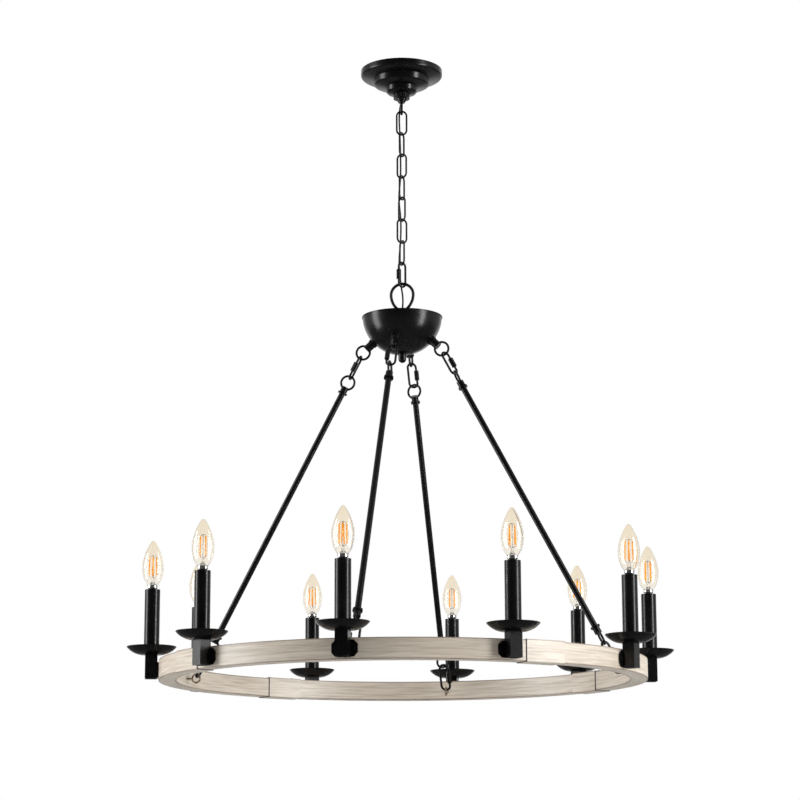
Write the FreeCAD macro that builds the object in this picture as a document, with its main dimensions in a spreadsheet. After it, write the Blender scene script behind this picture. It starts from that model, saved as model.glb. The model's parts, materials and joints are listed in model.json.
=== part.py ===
import FreeCAD, Part
import Sketcher
import math
import os
import re

# A wagon wheel chandelier. Millimetres, +Z up. The origin lies in the ceiling plane, on the vertical
# axis of the chain. Candle 1, hanger 1 and the middle of ring segment 1 face -Y, and what repeats
# around the wheel is numbered from there towards +X.

document = FreeCAD.newDocument("WagonWheelChandelier")
sheet = document.addObject("Spreadsheet::Sheet", "Sizes")

SIZES = {
    # Fits between pieces
    "thread_fit": 0.05, "sheet_fit": 0.1, "play": 0.3, "hub_play": 0.6, "ring_play": 0.5, "sleeve_fit": 0.15,
    # Crossbar against the ceiling
    "crossbar_length": 116, "crossbar_width": 18, "crossbar_thick": 2.5,
    "slot_spacing": 79, "slot_length": 27, "slot_width": 5,
    "earth_screw_place": 24, "earth_screw_shank": 4, "earth_screw_head": 8, "earth_head_height": 2.4,
    "earth_slot_width": 1, "earth_slot_depth": 1.2,
    # Threaded stem and its nuts
    "stem_diameter": 10, "stem_bore": 7, "stem_inset": 0.5, "stem_engaged": 8,
    "stem_nut_across": 15, "stem_nut_height": 3,
    # Canopy, its nut and its loop
    "canopy_radius": 70, "canopy_depth": 42, "canopy_sheet": 1.2, "canopy_hole": 23,
    "canopy_rim_height": 8, "canopy_shoulder": 66, "canopy_shoulder_drop": 11.5,
    "canopy_step_1": 48, "canopy_step_1_drop": 15, "canopy_step_2": 44, "canopy_step_2_drop": 26.2,
    "canopy_step_3": 27, "canopy_step_3_drop": 30, "canopy_step_4": 23.5, "canopy_step_4_drop": 40,
    "canopy_step_lean": 0.8, "canopy_flat": 14, "canopy_bulge": 0.7,
    "collar_nut_diameter": 28, "collar_nut_bore": 22.3, "collar_nut_height": 8,
    "knurl_count": 24, "knurl_radius": 0.9,
    "loop_thread": 22, "loop_thread_inside": 12, "loop_cone_top": 19.4, "loop_cone_bottom": 11,
    "loop_cone_height": 7, "loop_wire": 4.5, "loop_width": 21.5, "loop_height": 26.8,
    "loop_seat_drop": 76.45, "loop_bore": 6, "loop_turn": 102.5,
    # Chain
    "link_wire": 3.2, "link_inner": 38.75, "link_width": 20,
    "link_turn_1": 12.5, "link_turn_2": 76.5, "link_turn_3": -13.5, "link_turn_4": 74.5,
    "link_turn_5": -38.5, "link_turn_6": 35.5, "link_turn_7": -52.5,
    # Quick links
    "quick_wire": 3.8, "quick_inner": 38.4, "quick_width": 18.5, "quick_gap": 2.5,
    "quick_nut_across": 7.4, "quick_nut_length": 16, "quick_turn": 53.5,
    "low_wire": 4, "low_inner": 43.5, "low_width": 20, "low_nut_across": 8, "low_nut_length": 20,
    # Hub
    "hub_wire": 5, "hub_loop_radius": 19, "hub_leg_radius": 33, "hub_leg_foot": 4,
    "hub_loop_height": 58.3,
    "hub_turn": 2.5, "collar_diameter": 13, "collar_height": 12, "collar_bore": 5,
    "collar_engaged": 7,
    "lid_radius": 68, "lid_thick": 1.5,
    "bowl_radius": 67.13, "bowl_rise": 4.1, "bowl_sheet": 1.5, "bowl_flat": 8,
    "finial_diameter": 13.5, "finial_straight": 8, "finial_engaged": 9,
    "hub_nut_across": 15, "hub_nut_height": 3.5,
    "cord_window_top": 8, "cord_window_height": 22, "cord_window_width": 4.6,
    "block_length": 40, "block_width": 16, "block_height": 14, "block_entry": 14,
    "block_entry_hole": 3.6,
    # Hub eyes
    "eye_angle": 41.8, "eye_stand": 23.6, "eye_wire": 3.8, "eye_radius": 11.6,
    "stub_diameter": 14, "stub_inset": 7.3, "stub_flange": 16.4, "stub_flange_height": 3.5,
    "stub_seat_depth": 1,
    "shank_diameter": 6, "shank_inside": 12, "shank_nut_across": 10, "shank_nut_height": 4,
    # Hanger rods
    "rod_diameter": 10, "rod_wall": 1, "head_diameter": 12, "head_start": 8, "head_length": 10,
    "rod_collar_diameter": 16, "rod_collar_length": 3.5, "spigot_length": 12,
    # Hangers, how their links and eyes are turned about their own line
    "link_lay_1": 0, "eye_lay_1": 90, "link_lay_2": -34.5, "eye_lay_2": 15,
    "link_lay_3": -8.5, "eye_lay_3": 38, "link_lay_4": 0, "eye_lay_4": 90,
    # Wheel ring
    "wheel_drop": 1050, "ring_outer": 398.5, "ring_inner": 370.2, "ring_height": 32,
    "ring_wall": 1.5,
    "joint_1": 45, "joint_2": 135, "joint_3": 227, "joint_4": 315, "joint_gap": 0.3,
    "sleeve_wall": 1.05, "sleeve_half_angle": 5, "sleeve_screw_angle": 3.4,
    "ring_eye_stand": 16.2, "ring_eye_height": 13, "ring_eye_radius": 6.8, "ring_eye_wire": 3,
    "ring_eye_engaged": 4.5,
    # Candles
    "candle_count": 10, "plate_width": 40, "plate_height": 25, "plate_thick": 2, "plate_cut": 6,
    "plate_middle": 16, "plate_screw_place": 14.5,
    "screw_diameter": 3, "screw_head": 5.5, "screw_head_height": 1.7, "screw_grip": 8,
    "bracket_size": 20, "bracket_wall": 1.5, "bracket_bottom": 2.5, "bracket_top": 41,
    "pan_radius": 40.5, "pan_depth": 13, "pan_foot": 13, "pan_sheet": 1, "pan_sag": 5,
    "candle_diameter": 25, "candle_wall": 1, "candle_top": 147.5,
    "socket_stem": 10, "socket_stem_bore": 6, "socket_stem_below": 8, "socket_start": 98,
    "socket_diameter": 21.6, "socket_bore": 14.4, "socket_floor": 127.5, "socket_top": 147,
    "socket_nut_across": 14, "socket_nut_height": 3,
    # Bulbs
    "cap_diameter": 13.8, "cap_bottom": 128, "cap_tip": 4, "cap_collar": 16.6,
    "cap_collar_height": 5,
    "cap_collar_slope": 1,
    "glass_base": 155, "glass_length": 73, "glass_radius": 17.5, "glass_belly": 30.5,
    "glass_neck": 8.6,
    "glass_wall": 1, "glass_shoulder": 15, "glass_shoulder_height": 11,
    "glass_side": 14.3, "glass_side_height": 48.5, "glass_nose": 4, "glass_nose_lean": 34,
    "mount_radius": 3.4, "mount_height": 14,
    # Supply cord
    "cord_diameter": 3,
}

for row, (word, value) in enumerate(SIZES.items(), 1):
    sheet.set(f"A{row}", word)
    sheet.set(f"B{row}", str(value))
    sheet.setAlias(f"B{row}", word)
document.recompute()

FUNCTIONS = "sin|cos|tan|acos|atan|sqrt|pow|pi|vector|rotation|placement"
WORD = re.compile(rf"(?<![\w.])(?!(?:{FUNCTIONS})\b)([a-z]\w*)")
SIDES = (("-1", "Left"), ("1", "Right"))
AXES = {"X": "vector(1; 0; 0)", "Y": "vector(0; 1; 0)", "Z": "vector(0; 0; 1)"}


def bound(text):
    """The expression with each of its words read from the sheet."""
    return WORD.sub(r"Sizes.\1", text)


def number(text):
    """What an expression of the sheet's words comes to now."""
    found = sheet.evalExpression(text)
    return float(getattr(found, "Value", found))


def bind(thing, **expressions):
    """Tie properties of a feature to expressions of the sheet's words."""
    for name, text in expressions.items():
        thing.setExpression(name, bound(text))


def place(x="0", y="0", z="0", turns=()):
    """A placement expression: moved to x, y, z after the turns, the last turn made first."""
    spins = " * ".join(f"rotation({AXES[axis]}; {angle})" for axis, angle in turns)
    return f"placement(vector({x}; {y}; {z}); {spins or 'rotation(vector(0; 0; 1); 0)'})"


def new_body(label, at=None):
    """A body for one sub-part, which may be a group of separate solids."""
    body = document.addObject("PartDesign::Body", label)
    body.Label = label
    body.AllowCompound = True
    if at:
        bind(body, Placement=at)
    return body


def origin_feature(body, role):
    """One of the body's own base planes or axes."""
    return [feature for feature in body.Origin.OriginFeatures if feature.Role == role][0]


def attach(body, feature, plane, at):
    """Fix a feature on one of the body's base planes, moved by a placement expression."""
    feature.AttachmentSupport = [(origin_feature(body, plane), "")]
    feature.MapMode = "FlatFace"
    bind(feature, AttachmentOffset=at or place())
    return feature


def primitive(body, kind, name, at=None, **expressions):
    """An additive or subtractive primitive with its sizes tied to the sheet."""
    feature = attach(body, body.newObject(f"PartDesign::{kind}", name), "XY_Plane", at)
    bind(feature, **expressions)
    return feature


def box(body, name, length, width, height, x="0", y="0", z="0", kind="AdditiveBox"):
    """A box centred on x and y, standing on z."""
    at = place(f"{x} - ({length}) / 2", f"{y} - ({width}) / 2", z)
    return primitive(body, kind, name, at, Length=length, Width=width, Height=height)


def rod(body, name, radius, height, at=None):
    """A solid cylinder along its placement's own Z."""
    return primitive(body, "AdditiveCylinder", name, at, Radius=radius, Height=height)


def bore(body, name, radius, height, at=None):
    """A round hole along its placement's own Z."""
    return primitive(body, "SubtractiveCylinder", name, at, Radius=radius, Height=height)


def eye(body, name, radius, wire, at):
    """A ring of round wire about its placement's own Z."""
    return primitive(body, "AdditiveTorus", name, at, Radius1=radius, Radius2=f"({wire}) / 2")


def oval(body, name, wire, width, height, z="0"):
    """An oval of round wire in the XZ plane: its bottom wire's centre at z, height between centres."""
    radius = f"(({width}) - ({wire})) / 2"
    low = f"({z}) + {radius}"
    high = f"({z}) + ({height}) - {radius}"
    for word, level, lean in (("Top", high, "90"), ("Bottom", low, "-90")):
        bend = eye(body, name + word, radius, wire, place(z=level, turns=[("X", lean)]))
        bend.Angle3 = 180
    for side, word in SIDES:
        at = place(x=f"{side} * {radius}", z=low)
        rod(body, name + word, f"({wire}) / 2", f"({high}) - ({low})", at)


def sketch_on(body, name, plane, at=None):
    """An empty sketch on one of the body's base planes."""
    return attach(body, body.newObject("Sketcher::SketchObject", name), plane, at)


def pin_point(sketch, curve, end, x, y):
    """Hold one point of a sketch at two expressions from the sketch's origin."""
    for kind, text, axis in (("DistanceX", x, -2), ("DistanceY", y, -1)):
        if text == "0":
            sketch.addConstraint(Sketcher.Constraint("PointOnObject", curve, end, axis))
        else:
            held = sketch.addConstraint(Sketcher.Constraint(kind, -1, 1, curve, end, number(text)))
            sketch.setExpression(f"Constraints[{held}]", bound(text))


def draw(sketch, corners, closed=True):
    """Draw lines from corner to corner. A corner (x, y, via x, via y) is reached by an arc."""
    points = [FreeCAD.Vector(number(corner[0]), number(corner[1]), 0) for corner in corners]
    curves = []
    for index, corner in enumerate(corners):
        if index == 0 and not closed:
            continue
        start, finish = points[index - 1], points[index]
        if len(corner) == 4:
            via = FreeCAD.Vector(number(corner[2]), number(corner[3]), 0)
            curve = sketch.addGeometry(Part.Arc(start, via, finish), False)
            first = sketch.getPoint(curve, 1)
            ends = (1, 2) if first.distanceToPoint(start) < first.distanceToPoint(finish) else (2, 1)
            middle = sketch.addGeometry(Part.Point(via), True)
            sketch.addConstraint(Sketcher.Constraint("PointOnObject", middle, 1, curve))
            pin_point(sketch, middle, 1, corner[2], corner[3])
        else:
            curve = sketch.addGeometry(Part.LineSegment(start, finish), False)
            ends = (1, 2)
        curves.append((curve, ends))
        pin_point(sketch, curve, ends[1], corner[0], corner[1])
    for index, (curve, ends) in enumerate(curves):
        if index == 0 and not closed:
            pin_point(sketch, curve, ends[0], corners[0][0], corners[0][1])
            continue
        before, before_ends = curves[index - 1]
        sketch.addConstraint(Sketcher.Constraint("Coincident", before, before_ends[1], curve, ends[0]))
    return sketch


def draw_circle(sketch, x, y, radius):
    """Draw a circle with its centre and radius held by expressions."""
    centre = FreeCAD.Vector(number(x), number(y), 0)
    circle = sketch.addGeometry(Part.Circle(centre, FreeCAD.Vector(0, 0, 1), number(radius)), False)
    pin_point(sketch, circle, 3, x, y)
    held = sketch.addConstraint(Sketcher.Constraint("Radius", circle, number(radius)))
    sketch.setExpression(f"Constraints[{held}]", bound(radius))


def turned(body, name, corners, plane="XZ_Plane", at=None, angle="360"):
    """A solid turned about the sketch's own upright axis, from an outline of radius and height."""
    sketch = draw(sketch_on(body, name + "Outline", plane, at), corners)
    feature = body.newObject("PartDesign::Revolution", name)
    feature.Profile = sketch
    feature.ReferenceAxis = (sketch, ["V_Axis"])
    bind(feature, Angle=angle)
    return feature


def shell(corners, inward, upward):
    """The outline of a bent sheet: its outer corners, then the same corners moved to the inner face."""
    def moved(text, step):
        return f"({text}) + ({step})"

    outline = [corners[0][:2]] + list(corners[1:])
    outline.append((moved(corners[-1][0], inward), moved(corners[-1][1], upward)))
    for index in range(len(corners) - 1, 0, -1):
        corner = (moved(corners[index - 1][0], inward), moved(corners[index - 1][1], upward))
        if len(corners[index]) == 4:
            corner += (moved(corners[index][2], inward), moved(corners[index][3], upward))
        outline.append(corner)
    return outline


def plate(body, name, corners, holes, length, plane="XY_Plane", at=None):
    """A plate or nut: an outline with round holes (x, y, radius), made as thick as length."""
    sketch = draw(sketch_on(body, name + "Outline", plane, at), corners)
    for hole in holes:
        draw_circle(sketch, *hole)
    feature = body.newObject("PartDesign::Pad", name)
    feature.Profile = sketch
    bind(feature, Length=length)
    return feature


def hexagon(across):
    """The six corners of a nut of this size across its flats."""
    reach = f"({across}) / sqrt(3)"
    return [(f"{reach} * cos({turn})", f"{reach} * sin({turn})" if turn % 180 else "0")
            for turn in range(0, 360, 60)]


def nut(body, name, across, hole, length, at):
    """A hexagon nut along its placement's own Z, with a round hole of this radius."""
    return plate(body, name, hexagon(across), [("0", "0", hole)], length, at=at)


def repeat_around(body, count):
    """Repeat the whole body evenly about its upright axis."""
    document.recompute()
    pattern = body.newObject("PartDesign::PolarPattern", "Around")
    pattern.TransformMode = "Whole shape"
    pattern.Axis = (origin_feature(body, "Z_Axis"), [""])
    pattern.Angle = 360
    bind(pattern, Occurrences=count)
    body.Tip = pattern
    return pattern


def ring_place(radius, angle, z, turns=()):
    """A placement at a radius and an angle from -Y towards +X, turned with that angle."""
    return place(f"({radius}) * sin({angle})", f"-({radius}) * cos({angle})", z,
                 [("Z", angle)] + list(turns))


# ---------------------------------------------------------------- heights, measured down from the ceiling

def seat_drop(element):
    """Where the bottom wire of a chain element lies: 0 the canopy loop, 1 to 7 the links, 8 the quick link."""
    first = "loop_seat_drop + link_inner + link_wire / 2 - loop_wire / 2 - play"
    if element == 0:
        return "(loop_seat_drop)"
    if element < 8:
        return f"({first} + {element - 1} * (link_inner - play))"
    return f"({first} + 6 * (link_inner - play) + quick_inner + quick_wire / 2 - link_wire / 2 - play)"


LINK_COUNT = 7
HANGER_COUNT = 4
SEGMENT_COUNT = 4
HUB_TOP = f"({seat_drop(8)} - quick_wire / 2 - hub_play - hub_wire / 2)"
LID_TOP = f"({HUB_TOP} + hub_loop_height)"
BOWL_RIM = f"({LID_TOP} + lid_thick)"
BOWL_CENTRE = f"({BOWL_RIM} - bowl_rise)"
BOWL_BOTTOM = f"({BOWL_CENTRE} + sqrt(pow(bowl_radius; 2) - pow(bowl_flat; 2)))"
EYE_OUT = "((bowl_radius + eye_stand) * cos(eye_angle))"
EYE_DROP = f"({BOWL_CENTRE} + (bowl_radius + eye_stand) * sin(eye_angle))"

# The hanger's straight line, from the centre of the hub's eye to the centre of the wheel's eye.
HANGER_RUN = f"(ring_inner - ring_eye_stand - {EYE_OUT})"
HANGER_FALL = f"(wheel_drop - ring_eye_height - {EYE_DROP})"
HANGER_TILT = f"atan({HANGER_RUN} / {HANGER_FALL})"
HANGER_LENGTH = f"sqrt(pow({HANGER_RUN}; 2) + pow({HANGER_FALL}; 2))"
UPPER_LINK_LOW = "(eye_radius - eye_wire / 2 - play + quick_inner + quick_wire / 2)"
ROD_EYE_HIGH = "(eye_radius - eye_wire / 2 - play + quick_inner - play - eye_wire / 2 + eye_radius)"
ROD_EYE_LOW = (f"({HANGER_LENGTH} - ring_eye_radius + ring_eye_wire / 2 + ring_play - low_inner + play"
               " + eye_wire / 2 - eye_radius)")
LOWER_LINK_LOW = f"({HANGER_LENGTH} - ring_eye_radius + ring_eye_wire / 2 + ring_play + low_wire / 2)"

# ---------------------------------------------------------------- parts at the ceiling


def make_crossbar():
    """The flat bar that two screws hold to the ceiling box, slotted at both ends."""
    body = new_body("ceiling_crossbar")
    box(body, "Bar", "crossbar_length", "crossbar_width", "crossbar_thick", z="-crossbar_thick")
    for side, word in SIDES:
        middle = f"{side} * slot_spacing / 2"
        box(body, word + "Slot", "slot_length - slot_width", "slot_width", "3 * crossbar_thick",
            x=middle, z="-2 * crossbar_thick", kind="SubtractiveBox")
        for end, end_word in SIDES:
            x = f"{middle} + {end} * (slot_length - slot_width) / 2"
            bore(body, f"{word}Slot{end_word}End", "slot_width / 2", "3 * crossbar_thick",
                 place(x=x, z="-2 * crossbar_thick"))
    bore(body, "StemHole", "stem_diameter / 2 + thread_fit", "3 * crossbar_thick",
         place(z="-2 * crossbar_thick"))
    bore(body, "EarthHole", "earth_screw_shank / 2 + thread_fit", "3 * crossbar_thick",
         place(x="earth_screw_place", z="-2 * crossbar_thick"))


def make_earth_screw():
    """The earth screw in the bar, its head below."""
    body = new_body("earth_screw", place(x="earth_screw_place", z="-crossbar_thick"))
    rod(body, "Head", "earth_screw_head / 2", "earth_head_height", place(z="-earth_head_height"))
    rod(body, "Shank", "earth_screw_shank / 2", "crossbar_thick - stem_inset")
    box(body, "Driver", "earth_screw_head", "earth_slot_width", "earth_slot_depth",
        z="-earth_head_height", kind="SubtractiveBox")


def make_stem():
    """The threaded tube between the bar and the canopy loop, with the cord inside."""
    body = new_body("stem_nipple")
    length = "canopy_depth - loop_thread_inside + stem_engaged - stem_inset"
    low = place(z="loop_thread_inside - canopy_depth - stem_engaged")
    rod(body, "Tube", "stem_diameter / 2", length, low)
    bore(body, "Bore", "stem_bore / 2", length, low)

    body = new_body("stem_locknuts")
    hole = "stem_diameter / 2 + thread_fit"
    nut(body, "UnderBar", "stem_nut_across", hole, "stem_nut_height",
        place(z="-crossbar_thick - stem_nut_height"))
    nut(body, "OnLoop", "stem_nut_across", hole, "stem_nut_height",
        place(z="loop_thread_inside - canopy_depth"))


def make_canopy_loop():
    """The hollow threaded body that carries everything, with its cone and its oval of wire."""
    body = new_body("canopy_loop", place(turns=[("Z", "loop_turn")]))
    nut_bottom = "-canopy_depth - collar_nut_height"
    rod(body, "Thread", "loop_thread / 2", "loop_thread_inside + collar_nut_height", place(z=nut_bottom))
    primitive(body, "AdditiveCone", "Cone", place(z=f"{nut_bottom} - loop_cone_height"),
              Radius1="loop_cone_bottom / 2", Radius2="loop_cone_top / 2", Height="loop_cone_height")
    oval(body, "Loop", "loop_wire", "loop_width", "loop_height - loop_wire", z="-loop_seat_drop")
    top = "loop_thread_inside - canopy_depth"
    bore(body, "StemSocket", "stem_diameter / 2 + thread_fit", "stem_engaged",
         place(z=f"{top} - stem_engaged"))
    depth = "loop_thread_inside + collar_nut_height + loop_cone_height"
    bore(body, "CordWay", "loop_bore / 2", depth, place(z=f"{top} - ({depth})"))


def make_canopy():
    """The stepped canopy of pressed sheet that hides the ceiling box."""
    body = new_body("canopy")
    corners = [
        ("canopy_radius", "0"),
        ("canopy_radius", "-canopy_rim_height"),
        ("canopy_shoulder", "-canopy_shoulder_drop",
         "(canopy_radius + canopy_shoulder) / 2 + canopy_bulge",
         "-(canopy_rim_height + canopy_shoulder_drop) / 2 - canopy_bulge"),
        ("canopy_step_1", "-canopy_step_1_drop"),
        ("canopy_step_1 - canopy_step_lean", "canopy_step_lean * 2 - canopy_step_2_drop"),
        ("canopy_step_2", "-canopy_step_2_drop"),
        ("canopy_step_3", "-canopy_step_3_drop"),
        ("canopy_step_3 - canopy_step_lean", "canopy_step_lean * 3 - canopy_step_4_drop"),
        ("canopy_step_4", "-canopy_step_4_drop"),
        ("canopy_flat", "-canopy_depth"),
        ("canopy_hole / 2", "-canopy_depth"),
    ]
    outline = shell(corners[:-1], "-canopy_sheet", "canopy_sheet")
    outline[-1] = ("canopy_radius - canopy_sheet", "0")
    hole = [corners[-1], (corners[-1][0], "canopy_sheet - canopy_depth")]
    turned(body, "Pressing", outline[:len(corners) - 1] + hole + outline[len(corners) - 1:])


def make_collar_nut():
    """The knurled nut on the loop's thread that holds the canopy up."""
    body = new_body("collar_nut", place(z="-canopy_depth - collar_nut_height"))
    flute = "collar_nut_diameter / 2 + knurl_radius / 2"
    rod(body, "Nut", "collar_nut_diameter / 2", "collar_nut_height")
    bore(body, "Thread", "collar_nut_bore / 2", "collar_nut_height")
    cut = bore(body, "Flute", "knurl_radius", "collar_nut_height", place(x=flute))
    pattern = body.newObject("PartDesign::PolarPattern", "Knurl")
    pattern.Originals = [cut]
    pattern.Axis = (origin_feature(body, "Z_Axis"), [""])
    pattern.Angle = 360
    bind(pattern, Occurrences="knurl_count")
    body.Tip = pattern


# ---------------------------------------------------------------- chain

def make_chain():
    """Seven closed links, each hung in the bend above it and turned as it hangs."""
    for element in range(1, LINK_COUNT + 1):
        body = new_body(f"chain_link_{element}",
                        place(z=f"-{seat_drop(element)}", turns=[("Z", f"link_turn_{element}")]))
        oval(body, "Link", "link_wire", "link_width", "link_inner + link_wire")


def quick_link(body, name, kind, low, side):
    """A quick link in the body's XZ plane: an oval with a gap in one leg, its lowest wire at -low."""
    wire, inner, width = f"{kind}_wire", f"{kind}_inner", f"{kind}_width"
    oval(body, name, wire, width, f"{inner} + {wire}", z=f"-({low})")
    middle = f"({inner} + {wire}) / 2 - ({low})"
    box(body, name + "Gap", f"2 * {wire}", f"2 * {wire}", "quick_gap",
        x=f"{side} * ({width} - {wire}) / 2", z=f"{middle} - quick_gap / 2", kind="SubtractiveBox")
    return middle


def link_nut(body, name, kind, middle, side):
    """The long hexagon nut that closes a quick link's gap."""
    at = place(x=f"{side} * ({kind}_width - {kind}_wire) / 2", z=f"{middle} - {kind}_nut_length / 2")
    nut(body, name, f"{kind}_nut_across", f"{kind}_wire / 2 + thread_fit", f"{kind}_nut_length", at)


def make_top_quick_link():
    """The quick link between chain and hub, with its nut as a piece that travels."""
    at = place(z=f"-{seat_drop(8)}", turns=[("Z", "quick_turn")])
    middle = quick_link(new_body("top_quick_link", at), "Link", "quick", "0", "-1")
    link_nut(new_body("top_link_nut", at), "Nut", "quick", middle, "-1")


# ---------------------------------------------------------------- hub

def make_hub_loop():
    """The egg-shaped wire loop and the collar that it stands in, drilled for the cord."""
    body = new_body("hub_loop", place(z=f"-{LID_TOP}", turns=[("Z", "hub_turn")]))
    reach = "(hub_leg_radius - hub_loop_radius)"
    sweep = f"acos(({reach} + hub_leg_foot) / hub_leg_radius)"
    centre = "(hub_loop_height - hub_loop_radius)"
    foot = f"{centre} - hub_leg_radius * sin({sweep})"
    bend_x = f"(hub_leg_radius * cos({sweep} / 2) - {reach})"
    bend_z = f"{centre} - hub_leg_radius * sin({sweep} / 2)"
    path = draw(sketch_on(body, "LoopPath", "XZ_Plane"), [
        ("-hub_leg_foot", foot),
        ("-hub_loop_radius", centre, f"-{bend_x}", bend_z),
        ("hub_loop_radius", centre, "0", "hub_loop_height"),
        ("hub_leg_foot", foot, bend_x, bend_z),
    ], closed=False)
    at = place("-hub_leg_foot", "0", foot, [("Y", f"-{sweep}")])
    section = sketch_on(body, "LoopSection", "XY_Plane", at)
    draw_circle(section, "0", "0", "hub_wire / 2")
    wire = body.newObject("PartDesign::AdditivePipe", "LoopWire")
    wire.Profile = section
    wire.Spine = (path, ["Edge1", "Edge2", "Edge3"])
    rod(body, "Collar", "collar_diameter / 2", "collar_height")
    bore(body, "CordWay", "collar_bore / 2", "2 * collar_height")
    bore(body, "NippleSocket", "stem_diameter / 2 + thread_fit", "collar_engaged")


def make_hub_lid():
    """The thin disc that closes the bowl."""
    body = new_body("hub_lid", place(z=f"-{BOWL_RIM}"))
    rod(body, "Disc", "lid_radius", "lid_thick")
    bore(body, "Hole", "stem_diameter / 2 + thread_fit", "lid_thick")


def make_hub_bowl():
    """The deep spun bowl, with a small flat at the bottom and four holes for the eyes."""
    body = new_body("hub_bowl", place(z=f"-{BOWL_CENTRE}"))
    inner = "(bowl_radius - bowl_sheet)"
    low = "sqrt(pow(bowl_radius; 2) - pow(bowl_flat; 2))"
    hole = "stem_diameter / 2 + thread_fit"
    turned(body, "Bowl", [
        ("sqrt(pow(bowl_radius; 2) - pow(bowl_rise; 2))", "-bowl_rise"),
        ("bowl_flat", f"-{low}", "bowl_radius * sin(45)", "-bowl_radius * cos(45)"),
        (hole, f"-{low}"),
        (hole, f"bowl_sheet - {low}"),
        (f"sqrt(pow({inner}; 2) - pow({low} - bowl_sheet; 2))", f"bowl_sheet - {low}"),
        (f"sqrt(pow({inner}; 2) - pow(bowl_rise; 2))", "-bowl_rise",
         f"{inner} * sin(45)", f"-{inner} * cos(45)"),
    ])
    for index in range(HANGER_COUNT):
        turn = f"{index} * 360 / {HANGER_COUNT}"
        bore(body, f"EyeHole{index + 1}", "shank_diameter / 2 + thread_fit", "bowl_radius",
             place(turns=[("Z", turn), ("X", "90 + eye_angle")]))


def make_hub_nipple():
    """The long threaded tube through loop, lid, bowl and finial, with a window for the cord."""
    body = new_body("hub_nipple", place(z=f"-{LID_TOP}"))
    length = f"collar_engaged + {BOWL_BOTTOM} - {LID_TOP} + finial_engaged"
    low = place(z=f"{LID_TOP} - {BOWL_BOTTOM} - finial_engaged")
    rod(body, "Tube", "stem_diameter / 2", length, low)
    bore(body, "Bore", "stem_bore / 2", length, low)
    box(body, "CordWindow", "stem_diameter", "cord_window_width", "cord_window_height",
        x="stem_diameter / 2", z="-cord_window_top - cord_window_height", kind="SubtractiveBox")


def make_finial():
    """The finial screwed on the nipple under the bowl: a cylinder with a round end."""
    body = new_body("finial", place(z=f"-{BOWL_BOTTOM}"))
    radius = "finial_diameter / 2"
    turned(body, "Finial", [
        ("0", "-finial_engaged"),
        ("stem_diameter / 2 + thread_fit", "-finial_engaged"),
        ("stem_diameter / 2 + thread_fit", "0"),
        (radius, "0"),
        (radius, "-finial_straight"),
        ("0", f"-finial_straight - {radius}",
         f"{radius} * sin(45)", f"-finial_straight - {radius} * cos(45)"),
    ])


def make_hub_nuts():
    """The two nuts inside the hub: one under the lid, one on the bowl's bottom."""
    body = new_body("hub_locknuts", place(z=f"-{BOWL_BOTTOM}"))
    hole = "stem_diameter / 2 + thread_fit"
    nut(body, "OnBottom", "hub_nut_across", hole, "hub_nut_height", place(z="bowl_sheet"))
    nut(body, "UnderLid", "hub_nut_across", hole, "hub_nut_height",
        place(z=f"{BOWL_BOTTOM} - {BOWL_RIM} - hub_nut_height"))


def make_terminal_block():
    """The block on the nipple that the supply cord ends in."""
    body = new_body("terminal_block", place(z=f"bowl_sheet + hub_nut_height - {BOWL_BOTTOM}"))
    box(body, "Block", "block_length", "block_width", "block_height")
    bore(body, "Nipple", "stem_diameter / 2 + thread_fit", "block_height")
    for side, word in SIDES:
        bore(body, word + "Entry", "block_entry_hole / 2", "block_height / 2",
             place(x=f"{side} * block_entry", z="block_height / 2"))


def make_hub_eyes():
    """Four eyes screwed square into the bowl, each a wire ring on a round stub."""
    body = new_body("hub_eyes")
    centre = ("0", f"-{EYE_OUT}", f"-{EYE_DROP}")
    lean = [("X", "eye_angle - 90")]
    eye(body, "Ring", "eye_radius", "eye_wire", place(*centre, turns=[("Y", "90")]))

    def along(distance):
        return place("0", f"({distance}) * cos(eye_angle) - {EYE_OUT}",
                     f"({distance}) * sin(eye_angle) - {EYE_DROP}", lean)

    rod(body, "Stub", "stub_diameter / 2", "eye_stand - stub_inset + stub_seat_depth",
        along("stub_inset"))
    rod(body, "Flange", "stub_flange / 2", "stub_flange_height + stub_seat_depth",
        along("eye_stand - stub_flange_height"))
    primitive(body, "SubtractiveSphere", "Seat", place(z=f"-{BOWL_CENTRE}"),
              Radius="bowl_radius + thread_fit")
    rod(body, "Shank", "shank_diameter / 2", "shank_inside + stub_flange_height",
        along("eye_stand - stub_flange_height"))
    repeat_around(body, f"{HANGER_COUNT}")

    body = new_body("hub_eye_nuts")
    corner = "shank_nut_across / sqrt(3)"
    seat = f"bowl_radius + eye_stand - sqrt(pow(bowl_radius - bowl_sheet; 2) - pow({corner}; 2))"
    nut(body, "Nut", "shank_nut_across", "shank_diameter / 2 + thread_fit", "shank_nut_height",
        along(f"{seat} + thread_fit"))
    repeat_around(body, f"{HANGER_COUNT}")


# ---------------------------------------------------------------- hangers

def hanger_frame(index):
    """Where a hanger's own frame stands: at the hub eye's centre, its Z back up along the hanger."""
    turn = f"{index} * 360 / {HANGER_COUNT}"
    return ring_place(EYE_OUT, turn, f"-{EYE_DROP}", [("X", f"-{HANGER_TILT}")])


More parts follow.
